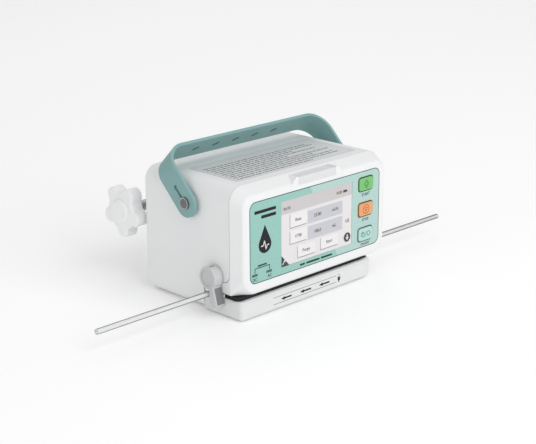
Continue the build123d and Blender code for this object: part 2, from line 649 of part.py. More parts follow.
with BuildPart() as stepper_motor:
    add(tip_rounded_box((22.8, 44), (CAM_Y - 10, CAM_Y + 10), (MOTOR_Z - 10, MOTOR_Z + 10), 2, Axis.X))
    rod_x(5.0, (21, 22.8), CAM_Y, MOTOR_Z)
    rod_x(1.56, (20, 26), CAM_Y, MOTOR_Z, mode=Mode.SUBTRACT)
stepper_motor.part.label = "stepper_motor"
export_step(stepper_motor.part, "parts/stepper_motor.step")


def tube_sensor(x):
    """Sensor block above the tube, with a shallow saddle."""
    with BuildPart() as p:
        slab(x, (TUBE_Y - 4.3, TUBE_Y + 4.3), (17.6, 23))
        rod_x(TUBE_R + 0.15, (x[0] - 1, x[1] + 1), TUBE_Y, TUBE_Z, mode=Mode.SUBTRACT)
    return p.part


with BuildPart() as air_sensor:
    add(tube_sensor((-55.8, -46.2)))
air_sensor.part.label = "air_sensor"
export_step(air_sensor.part, "parts/air_sensor.step")

with BuildPart() as pressure_sensor:
    add(tube_sensor((24.2, 33.8)))
pressure_sensor.part.label = "pressure_sensor"
export_step(pressure_sensor.part, "parts/pressure_sensor.step")

with BuildPart() as infusion_tube:
    rod_x(TUBE_R, TUBE_X, TUBE_Y, TUBE_Z)
    rod_x(TUBE_BORE_R, (TUBE_X[0] - 1, TUBE_X[1] + 1), TUBE_Y, TUBE_Z, mode=Mode.SUBTRACT)
infusion_tube.part.label = "infusion_tube"
export_step(infusion_tube.part, "parts/infusion_tube.step")

# ---------------------------------------------------------------- strap handle
LEAN = math.sqrt(0.5)
ARM_DIR = (0, LEAN, LEAN)
SWEEP_DIR = (0, -LEAN, LEAN)


def strap_prism(half_w, low, high, r):
    """Flat prism in the leaning plane, as wide as the band, with its far corners rounded."""
    with BuildPart() as p:
        with BuildSketch(Plane(origin=(0, RIVET_Y, RIVET_Z), x_dir=(1, 0, 0), z_dir=SWEEP_DIR)) as s:
            with Locations((0, (low + high) / 2)):
                Rectangle(2 * half_w, high - low)
            fillet(s.vertices().group_by(Axis.Y)[-1], r)
        extrude(amount=STRAP_BAND / 2, both=True)
    return p.part


with BuildPart() as handle_strap:
    add(strap_prism(STRAP_HALF_W, -15, STRAP_REACH + STRAP_T / 2, STRAP_BEND_R))
    add(strap_prism(STRAP_HALF_W - STRAP_T, -16, STRAP_REACH - STRAP_T / 2, STRAP_BEND_R - STRAP_T),
        mode=Mode.SUBTRACT)
    with BuildSketch(Plane(origin=(-90, RIVET_Y, RIVET_Z), x_dir=ARM_DIR, z_dir=(1, 0, 0))):
        with Locations((29.6, 0)):
            Rectangle(60.8, STRAP_BAND)
        with Locations((-0.8, 0)):
            Circle(STRAP_BAND / 2)
    extrude(amount=180, mode=Mode.INTERSECT)
    # keyhole slot above each rivet, and the rivet holes
    with BuildSketch(Plane(origin=(-90, RIVET_Y, RIVET_Z), x_dir=ARM_DIR, z_dir=(1, 0, 0))):
        Circle(2.98)
        with Locations((7.5, 0)):
            Rectangle(11, 2.2)
        with Locations((13, 0)):
            Circle(1.75)
    extrude(amount=180, mode=Mode.SUBTRACT)
    # oblong slots across the bar
    with BuildSketch(Plane(origin=(-5.7, RIVET_Y + LEAN * 30, RIVET_Z + LEAN * 30), x_dir=(1, 0, 0), z_dir=ARM_DIR)):
        with GridLocations(19.4, 1, 5, 1):
            SlotOverall(6.2, 2.8, rotation=-26)
    extrude(amount=20, mode=Mode.SUBTRACT)
handle_strap.part.label = "handle_strap"
export_step(handle_strap.part, "parts/handle_strap.step")

with BuildPart() as handle_rivets:
    for s in (-1, 1):
        rod_x(2.9, sorted((s * 70.5, s * 80.4)), RIVET_Y, RIVET_Z)
        rod_x(4.25, sorted((s * 79.8, s * 80.8)), RIVET_Y, RIVET_Z)
        rod_x(5.0, sorted((s * 70.5, s * 72.4)), RIVET_Y, RIVET_Z)
handle_rivets.part.label = "handle_rivets"
export_step(handle_rivets.part, "parts/handle_rivets.step")

with BuildPart() as handle_bushes:
    for s in (-1, 1):
        rod_x(6.0, sorted((s * 75.0, s * 77.1)), RIVET_Y, RIVET_Z)
    rod_x(2.9, (-80, 80), RIVET_Y, RIVET_Z, mode=Mode.SUBTRACT)
handle_bushes.part.label = "handle_bushes"
export_step(handle_bushes.part, "parts/handle_bushes.step")

# ---------------------------------------------------------------- pole clamp
with BuildPart() as clamp_bracket:
    slab((-45, 32), (BACK, BACK + 4), (CLAMP_Z - 17, CLAMP_Z + 17))
    add(tip_rounded_box((-45, -33), (BACK, CLAMP_Y + 12), (CLAMP_Z - 11, CLAMP_Z + 11), 4, Axis.X))
    add(tip_rounded_box((18, 32), (BACK, CLAMP_Y + 19), (CLAMP_Z - 14, CLAMP_Z + 14), 4, Axis.X))
    with BuildSketch(Plane.XY.offset(30)):
        with BuildLine():
            Polyline((16.9, CLAMP_Y - 15), (27.5, CLAMP_Y), (16.9, CLAMP_Y + 15), close=True)
        make_face()
    extrude(amount=50, mode=Mode.SUBTRACT)
    rod_x(SCREW_R + 0.3, (-50, -30), CLAMP_Y, CLAMP_Z, mode=Mode.SUBTRACT)
    for x in (-24, 6):
        for z in (44, 66):
            rod_y(2.0, x, (BACK - 1, BACK + 5), z, mode=Mode.SUBTRACT)
            rod_y(3.5, x, (BACK + 1.6, BACK + 5), z, mode=Mode.SUBTRACT)
clamp_bracket.part.label = "clamp_bracket"
export_step(clamp_bracket.part, "parts/clamp_bracket.step")

with BuildPart() as jaw_pad:
    with BuildSketch(Plane.XY.offset(CLAMP_Z - 13)):
        with BuildLine():
            Polyline((17.9, CLAMP_Y - 13.4), (27.4, CLAMP_Y), (17.9, CLAMP_Y + 13.4), (15.8, CLAMP_Y + 13.4),
                     (25.1, CLAMP_Y), (15.8, CLAMP_Y - 13.4), close=True)
        make_face()
    extrude(amount=26)
jaw_pad.part.label = "jaw_pad"
export_step(jaw_pad.part, "parts/jaw_pad.step")

with BuildPart() as bracket_screws:
    for x in (-24, 6):
        for z in (44, 66):
            rod_y(2.0, x, (BACK - 7, BACK + 2), z)
            rod_y(3.5, x, (BACK + 1.6, BACK + 4), z)
            rod_y(1.3, x, (BACK + 2.4, BACK + 5), z, mode=Mode.SUBTRACT)
bracket_screws.part.label = "bracket_screws"
export_step(bracket_screws.part, "parts/bracket_screws.step")

with BuildPart() as clamp_shoe:
    rod_x(9.0, (-19, -13), CLAMP_Y, CLAMP_Z)
    rod_x(SCREW_R + 0.07, (-20, -15.6), CLAMP_Y, CLAMP_Z, mode=Mode.SUBTRACT)
clamp_shoe.part.label = "clamp_shoe"
export_step(clamp_shoe.part, "parts/clamp_shoe.step")

with BuildPart() as clamp_screw:
    rod_x(SCREW_R, (-76, -16), CLAMP_Y, CLAMP_Z)
clamp_screw.part.label = "clamp_screw"
export_step(clamp_screw.part, "parts/clamp_screw.step")

with BuildPart() as star_knob:
    with BuildSketch(Plane.YZ.offset(KNOB_X[0])) as star:
        with Locations((CLAMP_Y, CLAMP_Z)):
            Circle(14.2)
            with PolarLocations(13.9, 5, start_angle=50):
                Circle(5.7)
        fillet(star.vertices(), 2.6)
    extrude(amount=KNOB_X[1] - KNOB_X[0])
    fillet(star_knob.faces().sort_by(Axis.X)[0].edges(), 1.4)
    rod_x(7.0, (KNOB_X[1], KNOB_X[1] + 5), CLAMP_Y, CLAMP_Z)
    rod_x(SCREW_R, (-76, -60), CLAMP_Y, CLAMP_Z, mode=Mode.SUBTRACT)
star_knob.part.label = "star_knob"
export_step(star_knob.part, "parts/star_knob.step")

with BuildPart() as knob_cap:
    rod_x(9.0, (KNOB_X[0] - 2.2, KNOB_X[0]), CLAMP_Y, CLAMP_Z)
    fillet(knob_cap.faces().sort_by(Axis.X)[0].edges(), 2.0)
knob_cap.part.label = "knob_cap"
export_step(knob_cap.part, "parts/knob_cap.step")
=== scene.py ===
import json
import math

import bmesh
import bpy
from mathutils import Matrix, Vector


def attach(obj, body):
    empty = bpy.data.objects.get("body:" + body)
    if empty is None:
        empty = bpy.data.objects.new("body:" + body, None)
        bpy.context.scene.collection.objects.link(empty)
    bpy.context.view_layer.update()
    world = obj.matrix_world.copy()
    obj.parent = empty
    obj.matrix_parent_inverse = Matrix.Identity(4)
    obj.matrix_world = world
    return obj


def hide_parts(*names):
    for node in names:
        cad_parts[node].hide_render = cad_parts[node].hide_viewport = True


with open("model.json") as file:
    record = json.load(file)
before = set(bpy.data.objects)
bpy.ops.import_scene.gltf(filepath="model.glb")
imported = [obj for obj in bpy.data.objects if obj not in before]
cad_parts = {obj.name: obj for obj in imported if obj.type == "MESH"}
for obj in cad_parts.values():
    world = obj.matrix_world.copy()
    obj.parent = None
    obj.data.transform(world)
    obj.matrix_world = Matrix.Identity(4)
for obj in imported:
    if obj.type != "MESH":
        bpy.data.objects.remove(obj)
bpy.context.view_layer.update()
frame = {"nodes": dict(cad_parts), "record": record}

MM = 0.001
FRONT = -48.0  # front face plane, mm
DOOR_FRONT = -49.2  # front face of the tube door, mm
PRINT = 0.05  # how far printed ink stands proud, mm

# ---------------------------------------------------------------- camera
camera_data = bpy.data.cameras.new("camera")
camera_data.lens = 90.2
camera_data.sensor_width = 36.0
camera_data.clip_end = 50.0
camera = bpy.data.objects.new("camera", camera_data)
bpy.context.scene.collection.objects.link(camera)
CAMERA_PLACE = (-0.6562, -0.6583, 0.3372)
RIGHT = Vector((0.7077, -0.7065, -0.0045)).normalized()
BACKWARD = Vector((-0.6729, -0.6759, 0.3006)).normalized()
UP = BACKWARD.cross(RIGHT).normalized()
CAMERA_AXES = Matrix((RIGHT, UP, BACKWARD)).transposed().to_4x4()
camera.matrix_world = Matrix.Translation(CAMERA_PLACE) @ CAMERA_AXES
bpy.context.scene.camera = camera


# ---------------------------------------------------------------- node helpers
def new_material(name):
    """An empty node material with a Principled shader wired to its output."""
    m = bpy.data.materials.new(name)
    m.use_nodes = True
    tree = m.node_tree
    tree.nodes.clear()
    out = tree.nodes.new("ShaderNodeOutputMaterial")
    shader = tree.nodes.new("ShaderNodeBsdfPrincipled")
    tree.links.new(shader.outputs[0], out.inputs[0])
    return m, tree, shader


def noise(tree, scale, detail=3.0, stretch=(1, 1, 1)):
    """Noise in object space, metres, optionally stretched."""
    coord = tree.nodes.new("ShaderNodeTexCoord")
    mapping = tree.nodes.new("ShaderNodeMapping")
    mapping.inputs["Scale"].default_value = stretch
    tree.links.new(coord.outputs["Object"], mapping.inputs[0])
    n = tree.nodes.new("ShaderNodeTexNoise")
    n.inputs["Scale"].default_value = scale
    n.inputs["Detail"].default_value = detail
    tree.links.new(mapping.outputs[0], n.inputs["Vector"])
    return n.outputs["Fac"]


def ramp(tree, fac, low, high, a=0.3, b=0.7):
    """Colour ramp from low to high."""
    r = tree.nodes.new("ShaderNodeValToRGB")
    r.color_ramp.elements[0].position = a
    r.color_ramp.elements[0].color = (*low, 1)
    r.color_ramp.elements[1].position = b
    r.color_ramp.elements[1].color = (*high, 1)
    tree.links.new(fac, r.inputs[0])
    return r.outputs[0]


def spread(tree, fac, low, high):
    """Maps a 0 to 1 value to low..high."""
    m = tree.nodes.new("ShaderNodeMapRange")
    m.inputs["To Min"].default_value = low
    m.inputs["To Max"].default_value = high
    tree.links.new(fac, m.inputs[0])
    return m.outputs[0]


def add_bump(tree, shader, height, strength, distance):
    """Bump from a height value."""
    b = tree.nodes.new("ShaderNodeBump")
    b.inputs["Strength"].default_value = strength
    b.inputs["Distance"].default_value = distance
    tree.links.new(height, b.inputs["Height"])
    tree.links.new(b.outputs[0], shader.inputs["Normal"])


def shade(color, k):
    """The colour made k times as bright, held to white."""
    return tuple(min(1.0, c * k) for c in color)


def moulded(name, color, rough=0.42, grain=2600, bump=0.25, vary=0.035, sub=0.0, coat=0.0, metal=0.0,
            stretch=(1, 1, 1), depth=0.00003, alpha=1.0):
    """Moulded or turned surface: fine grain bump, faint cloudy tone, uneven gloss."""
    m, tree, shader = new_material(name)
    cloud = noise(tree, 28, 4)
    tone = ramp(tree, cloud, shade(color, 1 - vary), shade(color, 1 + vary))
    tree.links.new(tone, shader.inputs["Base Color"])
    gloss = spread(tree, noise(tree, 140, 3), rough - 0.06, rough + 0.06)
    tree.links.new(gloss, shader.inputs["Roughness"])
    add_bump(tree, shader, noise(tree, grain, 2, stretch), bump, depth)
    shader.inputs["Metallic"].default_value = metal
    shader.inputs["Coat Weight"].default_value = coat
    shader.inputs["Subsurface Weight"].default_value = sub
    shader.inputs["Subsurface Radius"].default_value = (0.004, 0.004, 0.004)
    shader.inputs["Subsurface Scale"].default_value = 0.3
    shader.inputs["Alpha"].default_value = alpha
    return m


def ink(name, color, rough=0.6):
    """Screen-printed ink: flat colour broken by a faint mottle."""
    m, tree, shader = new_material(name)
    cloud = noise(tree, 900, 2)
    tree.links.new(ramp(tree, cloud, shade(color, 0.92), shade(color, 1.06)), shader.inputs["Base Color"])
    shader.inputs["Roughness"].default_value = rough
    shader.inputs["Specular IOR Level"].default_value = 0.25
    return m


def lit(name, color, strength):
    """Display colour under the lens: matt, finely mottled, with no more than a trace of glow."""
    m, tree, shader = new_material(name)
    mottle = noise(tree, 4000, 1)
    tone = ramp(tree, mottle, shade(color, 0.95), color)
    tree.links.new(tone, shader.inputs["Base Color"])
    tree.links.new(tone, shader.inputs["Emission Color"])
    shader.inputs["Emission Strength"].default_value = strength
    shader.inputs["Roughness"].default_value = 0.5
    return m


# ---------------------------------------------------------------- infusion tube
TUBE_Y = -22.7
TUBE_Z = 16.3
TUBE_R = 2.0
TUBE_BORE_R = 1.3
TUBE_LEFT, TUBE_RIGHT = -177, 168  # cut ends
CUT_DEPTH = 0.4  # how far the drawn cut end reaches into the tube


def clear_vinyl(name, rim, middle, color):
    """Clear soft vinyl: pale and see-through face on, darker and denser towards its outline."""
    m, tree, shader = new_material(name)
    weight = tree.nodes.new("ShaderNodeLayerWeight")
    weight.inputs["Blend"].default_value = 0.5
    facing = weight.outputs["Facing"]
    tree.links.new(spread(tree, facing, middle, rim), shader.inputs["Alpha"])
    tone = ramp(tree, facing, (0.88, 0.89, 0.89), color, 0.30, 0.46)
    tree.links.new(tone, shader.inputs["Base Color"])
    tree.links.new(spread(tree, noise(tree, 30, 2), 0.10, 0.16), shader.inputs["Roughness"])
    shader.inputs["Coat Weight"].default_value = 0.3
    return m


vinyl = clear_vinyl("tube_vinyl", 1.0, 0.45, (0.22, 0.225, 0.23))
vinyl_bore = clear_vinyl("tube_vinyl_bore", 0.4, 0.2, (0.70, 0.705, 0.71))


def tube_curve(name, xs, radius, material):
    """Straight round tube on a NURBS spline along X."""
    data = bpy.data.curves.new(name, "CURVE")
    data.dimensions = "3D"
    spline = data.splines.new("NURBS")
    spline.points.add(len(xs) - 1)
    for point, x in zip(spline.points, xs):
        point.co = (x * MM, TUBE_Y * MM, TUBE_Z * MM, 1)
    spline.order_u = 3
    spline.use_endpoint_u = True
    data.bevel_depth = radius * MM
    data.bevel_resolution = 8
    data.materials.append(material)
    o = bpy.data.objects.new(name, data)
    bpy.context.scene.collection.objects.link(o)
    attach(o, "casing")
    return o


TUBE_RUNS = {
    "left": [-74, -95, -120, -150, TUBE_LEFT],
    "middle": [-74, -37, 0, 37, 74],
    "right": [74, 95, 120, 145, TUBE_RIGHT],
}
walls = {k: tube_curve("tube_" + k, xs, TUBE_R, vinyl) for k, xs in TUBE_RUNS.items()}
bores = {k: tube_curve("tube_bore_" + k, xs, TUBE_BORE_R, vinyl_bore) for k, xs in TUBE_RUNS.items()}
for wall in walls.values():
    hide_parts("infusion_tube")


# ---------------------------------------------------------------- mesh helpers
def link_mesh(name, bm, material, body):
    """Turns a bmesh, in mm, into a piece in metres that rides on a body."""
    bmesh.ops.scale(bm, vec=(MM, MM, MM), verts=bm.verts)
    bmesh.ops.recalc_face_normals(bm, faces=bm.faces)
    data = bpy.data.meshes.new(name)
    bm.to_mesh(data)
    bm.free()
    data.materials.append(material)
    o = bpy.data.objects.new(name, data)
    bpy.context.scene.collection.objects.link(o)
    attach(o, body)
    return o


def circle(u, v, r, steps=36):
    """Outline of a circle."""
    return [(u + r * math.cos(2 * math.pi * k / steps), v + r * math.sin(2 * math.pi * k / steps))
            for k in range(steps)]


def rounded(u0, u1, v0, v1, r, steps=6):
    """Outline of a rounded rectangle."""
    points = []
    corners = ((u1 - r, v1 - r, 0), (u0 + r, v1 - r, 90), (u0 + r, v0 + r, 180), (u1 - r, v0 + r, 270))
    for cu, cv, start in corners:
        for k in range(steps + 1):
            a = math.radians(start + 90 * k / steps)
            points.append((cu + r * math.cos(a), cv + r * math.sin(a)))
    return points


end_vinyl = moulded("tube_cut_end", (0.55, 0.60, 0.61), rough=0.3, bump=0.1)


def end_ring(name, end):
    """Cut end of the tube: a short ring of the wall, from the end inwards."""
    bm = bmesh.new()
    inside = end - CUT_DEPTH * math.copysign(1, end)
    rings = []
    for r, x in ((TUBE_BORE_R, inside), (TUBE_BORE_R, end), (TUBE_R, end), (TUBE_R, inside)):
        rings.append([bm.verts.new((x, y, z)) for y, z in circle(TUBE_Y, TUBE_Z, r, 40)])
    for a, b in zip(rings, rings[1:] + rings[:1]):
        for k in range(len(a)):
            j = (k + 1) % len(a)
            bm.faces.new((a[k], a[j], b[j], b[k]))
    return link_mesh(name, bm, end_vinyl, "casing")


ring_left = end_ring("tube_end_left", TUBE_LEFT)
ring_right = end_ring("tube_end_right", TUBE_RIGHT)


class Print:
    """Collects flat shapes on one printed plane, then makes one thin piece of them."""

    def __init__(self, place):
        self.bm = bmesh.new()
        self.place = place

    def polygon(self, points):
        bottom = [self.bm.verts.new(self.place(u, v, 0.0)) for u, v in points]
        top = [self.bm.verts.new(self.place(u, v, PRINT)) for u, v in points]
        self.bm.faces.new(top)
        n = len(points)
        for k in range(n):
            j = (k + 1) % n
            self.bm.faces.new((bottom[k], bottom[j], top[j], top[k]))

    def rect(self, u0, u1, v0, v1, r=0.0):
        if r <= 0:
            self.polygon([(u0, v0), (u1, v0), (u1, v1), (u0, v1)])
            return
        self.polygon(rounded(u0, u1, v0, v1, r))

    def line(self, a, b, width):
        d = Vector((b[0] - a[0], b[1] - a[1])).normalized() * width / 2
        n = Vector((-d.y, d.x))
        self.polygon([(a[0] - n.x, a[1] - n.y), (b[0] - n.x, b[1] - n.y), (b[0] + n.x, b[1] + n.y),
                      (a[0] + n.x, a[1] + n.y)])

    def ring(self, outer, inner):
        """Band between two outlines with the same number of points."""
        n = len(outer)
        for k in range(n):
            j = (k + 1) % n
            self.polygon([outer[k], outer[j], inner[j], inner[k]])

    def frame(self, u0, u1, v0, v1, r, width):
        self.ring(rounded(u0, u1, v0, v1, r), rounded(u0 + width, u1 - width, v0 + width, v1 - width,
                                                       max(r - width, 0.05)))

    def circle(self, u, v, r, steps=36):
        self.polygon(circle(u, v, r, steps))

    def hoop(self, u, v, r, width, steps=36):
        self.ring(circle(u, v, r, steps), circle(u, v, r - width, steps))

    def piece(self, name, material, body):
        return link_mesh(name, self.bm, material, body)


def on_front(y):
    return lambda u, v, h: (u, y - h, v)


def on_top(z):
    return lambda u, v, h: (u, v, z + h)


def on_side(x):
    return lambda u, v, h: (x + math.copysign(h, x), u, v)


def words(name, text, u, v, size, material, body, y=FRONT, align="CENTER", bold=0.0):
    """Generic lettering or numerals as a thin flat mesh on a plane facing the front."""
    data = bpy.data.curves.new(name + "_text", "FONT")
    data.body = text
    data.size = size
    data.align_x = align
    data.align_y = "CENTER"
    data.extrude = PRINT / 2
    data.offset = bold
    data.resolution_u = 3
    o = bpy.data.objects.new(name + "_text", data)
    bpy.context.scene.collection.objects.link(o)
    bpy.context.view_layer.update()
    mesh = bpy.data.meshes.new_from_object(o.evaluated_get(bpy.context.evaluated_depsgraph_get()))
    bpy.data.objects.remove(o)
    bm = bmesh.new()
    bm.from_mesh(mesh)
    for vert in bm.verts:
        x, t, h = vert.co
        vert.co = (u + x, y - PRINT / 2 - h, v + t)
    return link_mesh(name, bm, material, body)


# ---------------------------------------------------------------- materials of the CAD nodes
WHITE = (0.80, 0.805, 0.81)
TEAL_DARK = (0.276, 0.518, 0.459)
TEAL_LIGHT = (0.418, 0.590, 0.553)
TONE_X, TONE_Z = -7.6, 82.5  # a point on the line where the two tones meet
TONE_RUN, TONE_RISE = 28.5, 56.5  # that line's slant


def overlay_film():
    """Printed polyester film in two teal tones that meet on a slanted line."""
    m, tree, shader = new_material("overlay_film")
    coord = tree.nodes.new("ShaderNodeTexCoord")
    axes = tree.nodes.new("ShaderNodeSeparateXYZ")
    tree.links.new(coord.outputs["Object"], axes.inputs[0])
    slant = tree.nodes.new("ShaderNodeMath")
    slant.operation = "MULTIPLY_ADD"
    slant.inputs[1].default_value = TONE_RUN / TONE_RISE
    tree.links.new(axes.outputs["Z"], slant.inputs[0])
    tree.links.new(axes.outputs["X"], slant.inputs[2])
    step = tree.nodes.new("ShaderNodeMath")
    step.operation = "GREATER_THAN"
    step.inputs[1].default_value = (TONE_X + TONE_Z * TONE_RUN / TONE_RISE) * MM
    tree.links.new(slant.outputs[0], step.inputs[0])
    mix = tree.nodes.new("ShaderNodeMix")
    mix.data_type = "RGBA"
    tree.links.new(step.outputs[0], mix.inputs["Factor"])
    cloud = noise(tree, 500, 2)
    tree.links.new(ramp(tree, cloud, shade(TEAL_DARK, 0.97), shade(TEAL_DARK, 1.03)), mix.inputs["A"])
    tree.links.new(ramp(tree, cloud, shade(TEAL_LIGHT, 0.97), shade(TEAL_LIGHT, 1.03)), mix.inputs["B"])
    tree.links.new(mix.outputs["Result"], shader.inputs["Base Color"])
    tree.links.new(spread(tree, noise(tree, 220, 3), 0.36, 0.46), shader.inputs["Roughness"])
    add_bump(tree, shader, noise(tree, 2200, 2), 0.15, 0.00002)
    return m


def clear_glass():
    """Thin clear lens: only its reflections show."""
    m, tree, shader = new_material("lens_clear")
    tree.links.new(spread(tree, noise(tree, 90, 3), 0.06, 0.12), shader.inputs["Roughness"])
    shader.inputs["Base Color"].default_value = (0.9, 0.92, 0.93, 1)
    shader.inputs["Alpha"].default_value = 0.04
    return m


def circuit():
    """Solder mask with faint copper traces."""
    m, tree, shader = new_material("circuit")
    coord = tree.nodes.new("ShaderNodeTexCoord")
    brick = tree.nodes.new("ShaderNodeTexBrick")
    brick.inputs["Scale"].default_value = 260
    brick.inputs["Color1"].default_value = (0.012, 0.10, 0.045, 1)
    brick.inputs["Color2"].default_value = (0.016, 0.13, 0.06, 1)
    brick.inputs["Mortar"].default_value = (0.05, 0.22, 0.09, 1)
    tree.links.new(coord.outputs["Object"], brick.inputs["Vector"])
    tree.links.new(brick.outputs["Color"], shader.inputs["Base Color"])
    shader.inputs["Roughness"].default_value = 0.35
    return m


MATERIALS = {
    "housing_white": moulded("housing", WHITE, rough=0.44, grain=3200, bump=0.18, vary=0.012),
    "knob_white": moulded("knob", (0.86, 0.865, 0.87), rough=0.4, bump=0.18, vary=0.015),
    "steel": moulded("steel", (0.42, 0.41, 0.42), rough=0.3, metal=1.0, stretch=(1, 0.06, 1), bump=0.25),
    "black_rubber": moulded("black_rubber", (0.004, 0.004, 0.005), rough=0.75, bump=0.4),
    "black_plastic": moulded("black_plastic", (0.022, 0.022, 0.024), rough=0.45, bump=0.3),
    "label_film": moulded("label_film", (0.67, 0.675, 0.685), rough=0.34, grain=2000, bump=0.1, vary=0.01,
                          coat=0.15),
    "overlay_teal": overlay_film(),
    "screen_glass": clear_glass(),
    "display_panel": lit("display_edge", (0.735, 0.71, 0.715), 0.02),
    "key_green": moulded("key_green", (0.170, 0.500, 0.155), rough=0.5, bump=0.25),
    "key_orange": moulded("key_orange", (0.780, 0.345, 0.140), rough=0.5, bump=0.25),
    "key_teal": moulded("key_teal", (0.43, 0.64, 0.585), rough=0.5, bump=0.25),
    "circuit_green": circuit(),
    "light_pipe": moulded("light_pipe", (0.05, 0.085, 0.08), rough=0.2, bump=0.05, coat=0.5),
    "lamp_white": moulded("lamp", (0.70, 0.705, 0.71), rough=0.3, bump=0.08, vary=0.01, sub=0.5,
                          coat=0.2),
    "battery_wrap": moulded("battery_wrap", (0.03, 0.10, 0.32), rough=0.25, bump=0.2, coat=0.3),
    "brass": moulded("brass", (0.60, 0.43, 0.19), rough=0.28, metal=1.0, stretch=(0.05, 1, 1)),
    "frame_aluminium": moulded("frame_aluminium", (0.62, 0.63, 0.64), rough=0.34, metal=1.0,
                               stretch=(0.05, 1, 1)),
    "clamp_aluminium": moulded("clamp_aluminium", (0.60, 0.61, 0.62), rough=0.46, metal=0.85, grain=1400,
                               bump=0.5),
    "motor_steel": moulded("motor_steel", (0.30, 0.30, 0.31), rough=0.35, metal=1.0),
    "tube_clear": vinyl,
    "lever_grey": moulded("lever", (0.55, 0.555, 0.56), rough=0.42, bump=0.25),
    "finger_white": moulded("finger", (0.72, 0.72, 0.68), rough=0.35, bump=0.15),
    "strap_teal": moulded("strap", (0.212, 0.386, 0.378), rough=0.5, grain=1800, bump=0.35, vary=0.05),
}
SLOT_OF = {s["node"]: s["material_slot"] for s in frame["record"]["subparts"]}
for node, o in frame["nodes"].items():
    o.data.materials.clear()
    o.data.materials.append(MATERIALS[SLOT_OF[node]])
# two nodes differ in tone from the rest of their slot
door_white = moulded("door", shade(WHITE, 0.9), rough=0.44, grain=3200, bump=0.18, vary=0.012)
frame["nodes"]["tube_door"].data.materials[0] = door_white
rivet_dark = moulded("rivet_cap", (0.17, 0.165, 0.17), rough=0.36, metal=0.9)
frame["nodes"]["handle_rivets"].data.materials[0] = rivet_dark

# ---------------------------------------------------------------- printed panel
black_ink = ink("ink_black", (0.012, 0.013, 0.014))
dark_ink = ink("ink_dark", (0.022, 0.038, 0.036))
grey_ink = ink("ink_grey", (0.13, 0.135, 0.14))
soft_ink = ink("ink_soft", (0.035, 0.035, 0.04))
white_ink = ink("ink_white", (0.8, 0.8, 0.8))

PANEL_X = 65.9
PANEL_Z = (24.6, 82.2)
KEY_X = 50.75
KEYS = (("key_start", 72.4), ("key_stop", 53.4), ("key_power", 34.5))
KEY_BODY = {"key_start": "start_key", "key_stop": "stop_key", "key_power": "power_key"}
LAMP_X = (-61.2, -47.4)  # the two supply lamps
LAMP_BRACKET_Z = (31.7, 35.3)

panel = Print(on_front(FRONT))
panel.frame(-PANEL_X, PANEL_X, *PANEL_Z, 5.4, 0.45)
for node, z in KEYS:
    panel.frame(KEY_X - 8.1, KEY_X + 8.1, z - 5.6, z + 5.6, 2.7, 0.6)
# bracket over the two supply lamps
panel.line((LAMP_X[0], LAMP_BRACKET_Z[1]), (LAMP_X[1], LAMP_BRACKET_Z[1]), 0.6)
for x in LAMP_X:
    panel.line((x, LAMP_BRACKET_Z[1]), (x, LAMP_BRACKET_Z[0]), 0.6)
panel.piece("panel_lines", dark_ink, "casing")

# plain drop with a pulse trace
drop = Print(on_front(FRONT))
DROP_X, DROP_Z, DROP_R = -51.6, 50.6, 6.0
outline = [(DROP_X, DROP_Z + 14.0)]
for k in range(25):
    a = math.radians(28 - 236 * k / 24)
    outline.append((DROP_X + DROP_R * math.cos(a), DROP_Z + DROP_R * math.sin(a)))
drop.polygon(outline[::-1])
drop.piece("pictogram_drop", black_ink, "casing")
trace = Print(on_front(FRONT - PRINT))
pulse = [(-55.4, 50.0), (-53.2, 50.0), (-52.1, 53.6), (-50.6, 46.8), (-49.6, 50.0), (-47.8, 50.0)]
for a, b in zip(pulse, pulse[1:]):
    trace.line(a, b, 0.7)
trace.piece("pictogram_trace", white_ink, "casing")

# two short greeked title bars
title = Print(on_front(FRONT))
title.rect(-61.3, -41.0, 73.4, 75.6, 0.5)
title.rect(-55.0, -41.0, 69.4, 71.6, 0.5)
title.piece("panel_title_bars", black_ink, "casing")

for name, text, u, v, size, m in (
        ("caption_start", "START", KEY_X + 0.3, 64.4, 3.0, dark_ink),
        ("caption_stop", "STOP", KEY_X + 0.3, 45.4, 3.0, dark_ink),
        ("caption_power", "ON/OFF", KEY_X + 0.3, 26.9, 2.6, dark_ink),
        ("caption_dc", "DC", -61.3, 27.4, 3.0, dark_ink),
        ("caption_ac", "AC", -47.2, 27.4, 3.0, dark_ink)):
    words(name, text, u, v, size, m, "casing", bold=0.04)
strip = Print(on_front(FRONT))
for u0, u1 in ((-17.4, -12.4), (-11.0, 2.6), (4.0, 15.6)):
    strip.rect(u0, u1, 26.6, 28.0, 0.4)
strip.rect(-58.6, -50.0, 36.2, 37.3, 0.3)
strip.piece("panel_strip_bars", dark_ink, "casing")

# ---------------------------------------------------------------- key symbols, which travel with their keys
KEY_FACE = FRONT - 0.9


def key_print(name, node, material, draw):
    p = Print(on_front(KEY_FACE))
    draw(p, dict(KEYS)[node])
    return p.piece(name, material, KEY_BODY[node])


def draw_start(p, z):
    for r, w in ((3.5, 0.5), (2.1, 0.4)):
        outer = [(KEY_X, z + r), (KEY_X + r * 0.8, z), (KEY_X, z - r), (KEY_X - r * 0.8, z)]
        shrink = 1 - w / r * 1.3
        p.ring(outer, [(KEY_X + (u - KEY_X) * shrink, z + (v - z) * shrink) for u, v in outer])


def draw_stop(p, z):
    p.hoop(KEY_X, z, 3.5, 0.5)
    outer = [(KEY_X - 1.9, z + 1.3), (KEY_X + 1.9, z + 1.3), (KEY_X, z - 2.3)]
    inner = [(KEY_X - 1.15, z + 0.9), (KEY_X + 1.15, z + 0.9), (KEY_X, z - 1.35)]
    p.ring(outer, inner)


